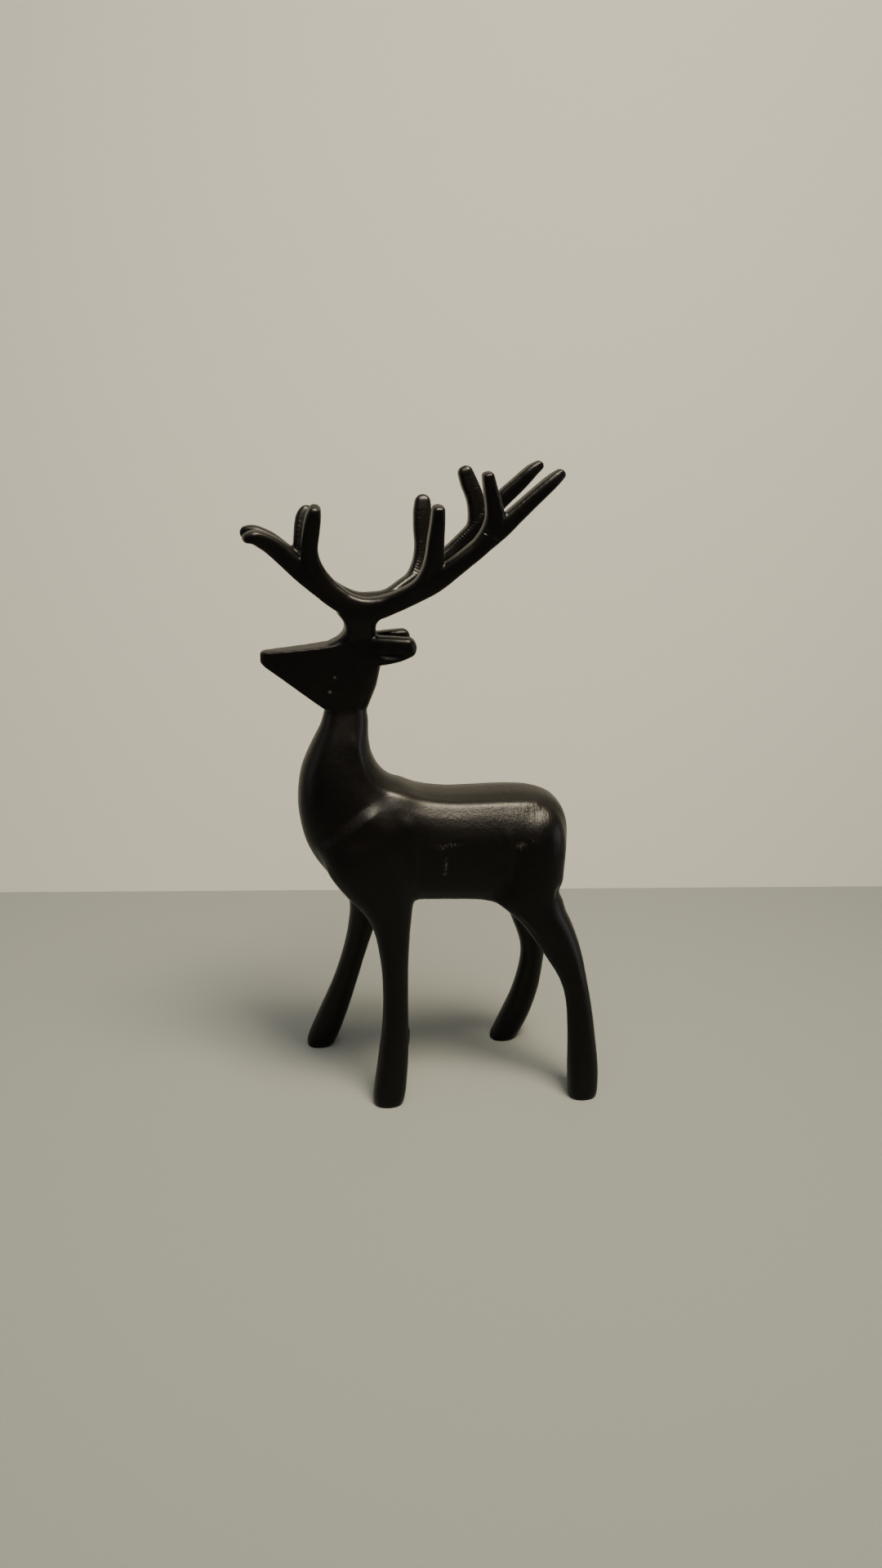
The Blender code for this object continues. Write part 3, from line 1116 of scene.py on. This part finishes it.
@dataclass
class Casting:
    """The whole figurine: its forms fused into one skin, chased and cut flat."""

    blank_voxel: float = 0.8
    blank_passes: int = 5
    fold_passes: int = 40
    voxel: float = 0.4
    passes: int = 3
    plain_share: float = 0.47
    plain_top: float = 127.0
    even_top: float = 126.0
    even_passes: int = 3
    break_reach: float = 1.3
    break_core: float = 0.9
    most_triangles: int = 165_000
    torso: Torso = field(default_factory=Torso)
    head: Head = field(default_factory=Head)
    antlers: Antlers = field(default_factory=Antlers)
    folds: tuple[tuple[Point, float], ...] = (
        ((33.0, 11.0, 64.0), 13.0),
        ((28.5, 10.5, 65.0), 7.0),
        ((-17.6, 3.5, 150.4), 4.2),
        ((-20.2, 5.2, 159.2), 3.4),
        ((4.0, 11.0, 65.5), 8.0),
        ((-24.0, 8.0, 82.0), 12.0),
        ((-13.0, 12.0, 97.0), 14.0),
        ((36.0, 13.0, 92.0), 13.0),
        ((51.0, 9.0, 70.0), 7.0),
    )

    def build(self) -> bpy.types.Object:
        """Model the casting.

        Returns:
            The finished piece, with its place in its mesh.
        """
        stock = RingStock()
        blank = self._blank(stock)
        plates = self.head.build(stock) + self.antlers.build(stock)
        stock.put_away()
        cast = self._fuse("elk_casting", [blank, *plates], self.voxel, self.passes)
        for stroke in CHASING:
            stroke.apply(cast)
        self._thin(cast)
        self._detail(cast)
        self._cut_feet(cast)
        take(cast)
        bpy.ops.object.shade_smooth()
        return cast

    def _blank(self, stock: RingStock) -> bpy.types.Object:
        """Fuse the torso and the legs, and blend them softly into each other.

        Args:
            stock: where their rings come from.

        Returns:
            The fused form.
        """
        forms = self.torso.build(stock) + [leg.build(stock) for leg in legs()]
        blank = self._fuse("blank", forms, self.blank_voxel, self.blank_passes)
        points = points_of(blank)
        weight = np.max([near(points, *fold) for fold in self.folds], axis=0)
        mark(blank, "folds", weight)
        finish_with(blank, "SMOOTH", factor=SMOOTHING, iterations=self.fold_passes,
                    vertex_group="folds")
        finish_with(blank, "SUBSURF", levels=1, render_levels=1)
        return blank

    def _fuse(self, name: str, forms: Sequence[bpy.types.Object], voxel: float,
              passes: int) -> bpy.types.Object:
        """Join forms and remesh them into one skin.

        Args:
            name: the skin's name.
            forms: closed forms that overlap.
            voxel: the size of the remesh's cells in millimetres.
            passes: how often the skin is smoothed afterwards.

        Returns:
            The skin.
        """
        deselect()
        for form in forms:
            form.select_set(True)
        bpy.context.view_layer.objects.active = forms[0]
        bpy.ops.object.join()
        skin = bpy.context.object
        skin.name = name
        finish_with(skin, "REMESH", mode="VOXEL", voxel_size=voxel * MM)
        finish_with(skin, "SMOOTH", factor=SMOOTHING, iterations=passes)
        log.info("%s has %d faces", name, len(skin.data.polygons))
        return skin

    def _thin(self, cast: bpy.types.Object) -> None:
        """Thin the skin, first where it is plain, down to what a piece may have.

        Args:
            cast: the casting.
        """
        points = points_of(cast)
        mark(cast, "plain", rise((self.plain_top - points[:, 2]) / 2))
        finish_with(cast, "DECIMATE", ratio=self.plain_share, vertex_group="plain")
        points = points_of(cast)
        mark(cast, "even", rise((self.even_top - points[:, 2]) / 3))
        finish_with(cast, "SMOOTH", factor=SMOOTHING, iterations=self.even_passes,
                    vertex_group="even")
        cast.data.calc_loop_triangles()
        share = self.most_triangles / len(cast.data.loop_triangles)
        if share < 1:
            finish_with(cast, "DECIMATE", ratio=share)
        cast.data.calc_loop_triangles()
        log.info("casting has %d triangles", len(cast.data.loop_triangles))

    def _detail(self, cast: bpy.types.Object) -> None:
        """Refine the skin where the ribs and the old break lie, and work them in.

        Args:
            cast: the casting.
        """
        ribbed = [ribs.face(cast)[0] > 0.02 for ribs in RIBBED]
        broken = self._by_break(cast) < self.break_reach
        self._refine(cast, np.any([broken, *ribbed], axis=0))
        self._refine(cast, self._by_break(cast) < self.break_core)
        for ribs in RIBBED:
            ribs.raise_ribs(cast)
        for mishap in MISHAPS:
            mishap.apply(cast)
        cast.data.calc_loop_triangles()
        log.info("with its details it has %d triangles", len(cast.data.loop_triangles))

    def _by_break(self, cast: bpy.types.Object) -> np.ndarray:
        """How far each vertex is from the old break, which is on the left."""
        return trace(points_of(cast) * (1, -1, 1), BREAK_LINE)[0]

    def _refine(self, cast: bpy.types.Object, chosen: np.ndarray) -> None:
        """Cut the faces around chosen vertices into four.

        Args:
            cast: the casting.
            chosen: whether each vertex is chosen.
        """
        mesh = cast.data
        mesh.vertices.foreach_set("select", chosen)
        mesh.edges.foreach_set("select", np.zeros(len(mesh.edges), bool))
        mesh.polygons.foreach_set("select", np.zeros(len(mesh.polygons), bool))
        with editing(cast):
            bpy.ops.mesh.select_mode(type="VERT")
            bpy.ops.mesh.subdivide(number_cuts=1)

    def _cut_feet(self, cast: bpy.types.Object) -> None:
        """Cut the feet flat at the height of the surface below.

        Args:
            cast: the casting.
        """
        with editing(cast):
            bpy.ops.mesh.select_all(action="SELECT")
            bpy.ops.mesh.bisect(plane_co=(0, 0, 0), plane_no=(0, 0, 1), use_fill=True,
                                clear_inner=True, threshold=1e-6)


# ---------------------------------------------------------------- finishes


class Socket:
    """An output socket that adds Math nodes when it is used in an expression."""

    def __init__(self, finish: "Finish", socket: bpy.types.NodeSocket) -> None:
        """Wrap a socket of a finish's material."""
        self.finish = finish
        self.socket = socket

    def _with(self, operation: str, *values: object) -> "Socket":
        """The result of a Math node."""
        return self.finish.add("ShaderNodeMath", {"operation": operation},
                               dict(enumerate(values)))

    def __add__(self, other: object) -> "Socket":
        """Sum."""
        return self._with("ADD", self, other)

    __radd__ = __add__

    def __mul__(self, other: object) -> "Socket":
        """Product."""
        return self._with("MULTIPLY", self, other)

    __rmul__ = __mul__

    def __sub__(self, other: object) -> "Socket":
        """Difference."""
        return self._with("SUBTRACT", self, other)

    def __rsub__(self, other: object) -> "Socket":
        """Difference, the other way round."""
        return self._with("SUBTRACT", other, self)

    def __truediv__(self, other: object) -> "Socket":
        """Quotient."""
        return self._with("DIVIDE", self, other)

    def at_most(self, other: object) -> "Socket":
        """The smaller of two."""
        return self._with("MINIMUM", self, other)

    def at_least(self, other: object) -> "Socket":
        """The larger of two."""
        return self._with("MAXIMUM", self, other)


class Finish:
    """A material with a node tree that is built by expressions."""

    def __init__(self, name: str) -> None:
        """Start a material with its Principled shader.

        Args:
            name: the material's name.
        """
        self.material = bpy.data.materials.new(name)
        self.material.use_nodes = True
        self.tree = self.material.node_tree
        self.shader = self.tree.nodes["Principled BSDF"]

    def add(self, kind: str, settings: dict[str, object] | None = None,
            values: dict[object, object] | None = None, output: object = 0) -> Socket:
        """Add a node.

        Args:
            kind: the node's type.
            settings: its properties, set before its sockets.
            values: numbers or links of its input sockets.
            output: which output to hand back.

        Returns:
            The output socket, wrapped.
        """
        node = self.tree.nodes.new(kind)
        for name, value in (settings or {}).items():
            setattr(node, name, value)
        for key, value in (values or {}).items():
            self.feed(node.inputs[key], value)
        return Socket(self, node.outputs[output])

    def mix(self, share: object, first: object, second: object) -> Socket:
        """A colour between two, at a given share of the second."""
        return self.add("ShaderNodeMix", {"data_type": "RGBA"},
                        {0: share, 6: first, 7: second}, 2)

    def feed(self, target: bpy.types.NodeSocket, value: object) -> None:
        """Link a wrapped socket to an input, or set its value.

        Args:
            target: the input.
            value: a wrapped socket, or a number, colour or vector.
        """
        if isinstance(value, Socket):
            self.tree.links.new(value.socket, target)
        else:
            target.default_value = value

    def set(self, name: str, value: object) -> None:
        """Set or link an input of the Principled shader."""
        self.feed(self.shader.inputs[name], value)


@dataclass(frozen=True)
class Scuff:
    """A rubbed place: its middle, its reach each way in millimetres, how bare it is."""

    place: Point
    reach: Point
    bare: float


@dataclass(frozen=True)
class SatinBlack:
    """Satin black paint over cast resin, with a warm tint, fine grain and a few scuffs.

    Scales of noise are per metre.  The dulling shares say how much each pattern adds to
    the roughness, and the heights how much it adds to the relief, which is in metres.
    Brush marks start behind and above the places given, in metres in the frame, and
    each pattern's fade is how many metres it takes to come in, along and upwards.
    """

    black: tuple[float, float, float, float] = (0.0003, 0.00024, 0.0002, 1.0)
    warm: tuple[float, float, float, float] = (0.0008, 0.0004, 0.0003, 1.0)
    dust: tuple[float, float, float, float] = (0.02, 0.018, 0.015, 1.0)
    roughness: float = 0.34
    ior: float = 1.26
    cloud_scale: float = 45.0
    ripple_scale: float = 420.0
    pebble_scale: float = 750.0
    grain_scale: float = 900.0
    fine_scale: float = 1500.0
    fleck_scale: float = 2400.0
    brush_scale: float = 150.0
    brush_draw: Point = (5.0, 1.0, 1.0)
    relief: float = 0.0001
    grain_dulls: float = 0.10
    cloud_dulls: float = 0.06
    rubbed_dulls: float = 0.2
    handled_dulls: float = 0.11
    even_dulling: float = 0.05
    ripple_height: float = 0.6
    fine_height: float = 0.4
    brush_height: float = 1.5
    pebble_height: float = 1.3
    brushed_behind: float = 0.004
    brushed_above: float = 0.062
    brushed_fade: tuple[float, float] = (0.02, 0.012)
    handled_from: Point = (2.0, 0.0, 86.0)
    handled_to: Point = (45.0, 0.0, 99.5)
    handled_fade: tuple[float, float] = (0.012, 0.004)
    fleck_contrast: float = 9.0
    fleck_core: float = 2.0
    fleck_cut: float = 0.6
    scuff_edge: float = 3.0
    scuffs: tuple[Scuff, ...] = (
        Scuff((13.6, -15.0, 86.9), (6.0, 3.0, 1.3), 0.40),
        Scuff((11.0, -15.0, 86.3), (2.4, 3.0, 1.0), 0.42),
        Scuff((12.4, -15.2, 80.6), (0.9, 3.0, 4.6), 0.44),
        Scuff((12.0, -15.2, 77.4), (1.2, 3.0, 0.9), 0.45),
        Scuff((36.1, -14.6, 85.9), (2.6, 3.0, 1.8), 0.46),
        Scuff((40.4, -14.6, 87.4), (3.0, 3.0, 1.6), 0.38),
        Scuff((-20.2, -4.9, 139.2), (0.45, 0.6, 0.45), 1.0),
        Scuff((-21.8, -4.8, 134.7), (0.6, 0.6, 0.6), 1.0),
        Scuff((44.8, 9.0, 32.1), (0.6, 3.0, 0.6), 1.0),
    )

    def make(self) -> bpy.types.Material:
        """Build the finish.

        Returns:
            The material.
        """
        finish = Finish("satin black resin")
        place = finish.add("ShaderNodeTexCoord", output="Object")
        cloud = self._noise(finish, place, self.cloud_scale, 4.0)
        grain = self._noise(finish, place, self.grain_scale, 3.0)
        paint = finish.mix(cloud, self.black, self.warm)
        rubbed = self._rubbed(finish, place)
        handled = self._handled(finish, place)
        finish.set("Base Color", finish.mix(rubbed, paint, self.dust))
        finish.set("IOR", self.ior)
        finish.set("Roughness", grain * self.grain_dulls
                   + (self.roughness - self.even_dulling) + cloud * self.cloud_dulls
                   + rubbed * self.rubbed_dulls + handled * self.handled_dulls)
        finish.set("Normal", self._bump(finish, place, handled))
        return finish.material

    def _noise(self, finish: Finish, place: Socket, scale: float,
               detail: float) -> Socket:
        """Plain noise of a given scale."""
        return finish.add("ShaderNodeTexNoise", {}, {
            "Vector": place, "Scale": scale, "Detail": detail, "Roughness": 0.58}, "Fac")

    def _rubbed(self, finish: Finish, place: Socket) -> Socket:
        """Where the paint is scuffed or dusty.

        Args:
            finish: the material.
            place: its Object coordinates.

        Returns:
            One on bare flecks, zero elsewhere.
        """
        flecks = self._noise(finish, place, self.fleck_scale, 2.0)
        rubbed = None
        for scuff in self.scuffs:
            offset = finish.add("ShaderNodeVectorMath", {"operation": "SUBTRACT"},
                                {0: place, 1: BENCH.place(scuff.place)})
            shares = tuple(1 / (reach * MM) for reach in scuff.reach)
            shrunk = finish.add("ShaderNodeVectorMath", {"operation": "MULTIPLY"},
                                {0: offset, 1: shares})
            away = finish.add("ShaderNodeVectorMath", {"operation": "LENGTH"},
                              {0: shrunk}, "Value")
            close = (1 - away).at_least(0.0)
            fleck = ((flecks - (1 - scuff.bare)) * self.fleck_contrast
                     + close * self.fleck_core - self.fleck_cut).at_least(0.0)
            edge = (close * self.scuff_edge).at_most(1.0)
            mark_here = (fleck * edge).at_most(1.0)
            rubbed = mark_here if rubbed is None else rubbed.at_least(mark_here)
        return rubbed

    def _handled(self, finish: Finish, place: Socket) -> Socket:
        """The upper flanks, which hands have dulled.

        Args:
            finish: the material.
            place: its Object coordinates.

        Returns:
            One there, zero elsewhere.
        """
        low = BENCH.place(self.handled_from)
        high = BENCH.place(self.handled_to)
        x = finish.add("ShaderNodeSeparateXYZ", {}, {"Vector": place})
        z = finish.add("ShaderNodeSeparateXYZ", {}, {"Vector": place}, "Z")
        long, tall = self.handled_fade
        along = (((x - low.x) / long).at_most(1.0)).at_most((high.x - x) / long)
        upward = (((z - low.z) / tall).at_most(1.0)).at_most((high.z - z) / tall)
        return along.at_most(upward).at_least(0.0)

    def _bump(self, finish: Finish, place: Socket, handled: Socket) -> Socket:
        """Soft ripples and grain, pebbles where handled, and upright brush marks.

        The brush marks are on the body alone, from behind the shoulder to the rump.

        Args:
            finish: the material.
            place: its Object coordinates.
            handled: where hands have dulled the paint.

        Returns:
            The shading normal.
        """
        ripple = self._noise(finish, place, self.ripple_scale, 4.0)
        grain = self._noise(finish, place, self.fine_scale, 3.0)
        drawn = finish.add("ShaderNodeVectorMath", {"operation": "MULTIPLY"},
                           {0: place, 1: self.brush_draw})
        brushed = self._noise(finish, drawn, self.brush_scale, 2.0)
        x = finish.add("ShaderNodeSeparateXYZ", {}, {"Vector": place})
        z = finish.add("ShaderNodeSeparateXYZ", {}, {"Vector": place}, "Z")
        long, tall = self.brushed_fade
        behind = ((x - self.brushed_behind) / long).at_least(0.0).at_most(1.0)
        body = ((z - self.brushed_above) / tall).at_least(0.0).at_most(behind)
        pebbles = self._noise(finish, place, self.pebble_scale, 2.0)
        height = (ripple * self.ripple_height + grain * self.fine_height
                  + brushed * body * self.brush_height
                  + pebbles * handled * self.pebble_height)
        return finish.add("ShaderNodeBump", {}, {
            "Height": height, "Strength": 1.0, "Distance": self.relief}, "Normal")


@dataclass(frozen=True)
class PaleCard:
    """Plain matt card for the studio's surfaces, shown from its face or both sides."""

    name: str
    tone: tuple[float, float, float, float]
    face_only: bool = False

    def make(self) -> bpy.types.Material:
        """Build the finish.

        Returns:
            The material.
        """
        finish = Finish(self.name)
        finish.set("Base Color", self.tone)
        finish.set("Roughness", 0.8)
        finish.set("IOR", 1.3)
        if self.face_only:
            behind = finish.add("ShaderNodeNewGeometry", output="Backfacing")
            finish.set("Alpha", 1 - behind)
        return finish.material


# ---------------------------------------------------------------- the studio


@dataclass(frozen=True)
class Lamp:
    """A soft square lamp: its place from the figurine, its width, strength and beam."""

    name: str
    place: Point
    width: float
    watts: float
    tint: tuple[float, float, float] = (1.0, 1.0, 1.0)
    beam: float = 180.0

    def hang(self, aim: Vector) -> None:
        """Hang the lamp and turn it to a point.

        Args:
            aim: where it shines, in the frame.
        """
        data = bpy.data.lights.new(self.name, "AREA")
        data.size = self.width
        data.energy = self.watts
        data.color = self.tint
        data.spread = math.radians(self.beam)
        lamp = bpy.data.objects.new(self.name, data)
        lamp.location = Vector(self.place)
        lamp.rotation_euler = (aim - lamp.location).to_track_quat("-Z", "Y").to_euler()
        bpy.context.collection.objects.link(lamp)


@dataclass
class Studio:
    """Floor, backdrop, lamps and camera."""

    floor_half: float = 3.0
    wall_behind: float = 0.157
    wall_height: float = 4.0
    wall_turn: float = -7.0
    floor_card: PaleCard = PaleCard("pale floor card", (0.092, 0.098, 0.096, 1.0))
    wall_card: PaleCard = PaleCard("pale wall card", (0.362, 0.358, 0.333, 1.0), True)
    camera_place: Point = (-42.0, -390.3, 232.6)
    camera_down: float = 18.3
    camera_turn: float = 8.0
    lens: float = 30.0
    sensor: float = 36.0
    world: float = 0.05
    lamp_aim: Point = (0.0, 0.0, 0.09)
    lamps: tuple[Lamp, ...] = (
        Lamp("ceiling_lamp", (0.24, -0.38, 1.18), 0.42, 6.2, (1.0, 0.86, 0.60), 55.0),
        Lamp("front_fill", (-0.05, -0.85, 1.30), 0.7, 2.0, (1.0, 0.93, 0.82), 65.0),
        Lamp("right_side", (0.90, -0.30, 0.06), 0.5, 0.7, (0.98, 0.99, 1.0), 90.0),
        Lamp("left_side", (-1.00, -0.10, 0.32), 0.6, 0.32, (0.98, 0.99, 1.0), 90.0),
        Lamp("overhead_fill", (0.0, -0.45, 1.75), 1.65, 35.0, (1.0, 0.98, 0.95)),
    )

    def build(self) -> None:
        """Set up the studio."""
        self._surfaces()
        for lamp in self.lamps:
            lamp.hang(Vector(self.lamp_aim))
        self._world()
        self._camera()

    def _surfaces(self) -> None:
        """A floor, and a wall card that stands on it behind the figurine."""
        turn = math.radians(self.wall_turn)
        floor = self._card("floor", (0, 0, 0), (0, 0, turn), 2 * self.floor_half,
                           self.floor_card)
        back = Vector((0, self.wall_behind, self.wall_height / 2))
        back.rotate(Euler((0, 0, turn)))
        wall = self._card("wall", back, (math.radians(90), 0, turn), self.wall_height,
                          self.wall_card)

    def _card(self, name: str, middle: Sequence[float], turn: Point, size: float,
              finish: PaleCard) -> bpy.types.Object:
        """A square card.

        Args:
            name: its name.
            middle: where its middle is.
            turn: how it is turned, in radians.
            size: how long its sides are.
            finish: what it is covered with.

        Returns:
            The card, cut into squares and with its place in its mesh.
        """
        deselect()
        bpy.ops.mesh.primitive_plane_add(size=size, location=middle, rotation=turn)
        card = bpy.context.object
        card.name = name
        with editing(card, "FACE"):
            bpy.ops.mesh.select_all(action="SELECT")
            bpy.ops.mesh.subdivide(number_cuts=3)
        take(card)
        bpy.ops.object.transform_apply(location=True, rotation=True)
        card.data.materials.append(finish.make())
        return card

    def _world(self) -> None:
        """A dim even surround."""
        world = bpy.data.worlds.new("surround")
        world.use_nodes = True
        node = world.node_tree.nodes["Background"]
        node.inputs["Color"].default_value = (1.0, 0.98, 0.95, 1.0)
        node.inputs["Strength"].default_value = self.world
        bpy.context.scene.world = world

    def _camera(self) -> None:
        """A camera that looks down on the left flank."""
        data = bpy.data.cameras.new("camera")
        data.lens = self.lens
        data.sensor_width = self.sensor
        data.clip_start = 0.01
        camera = bpy.data.objects.new("camera", data)
        camera.location = BENCH.place(self.camera_place)
        camera.rotation_euler = (math.radians(90 - self.camera_down), 0,
                                 math.radians(-self.camera_turn))
        bpy.context.collection.objects.link(camera)
        bpy.context.scene.camera = camera


def main() -> None:
    """Build the studio and the casting, dress it and hand it to the frame."""
    logging.basicConfig(level=logging.INFO, format="%(name)s: %(message)s")
    Studio().build()
    cast = Casting().build()
    cast.data.materials.clear()
    cast.data.materials.append(SatinBlack().make())
    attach(cast, "root")
    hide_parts(NODE)
    log.info("%s rides on root and stands for %s", cast.name, NODE)


if __name__ == "__main__":
    main()
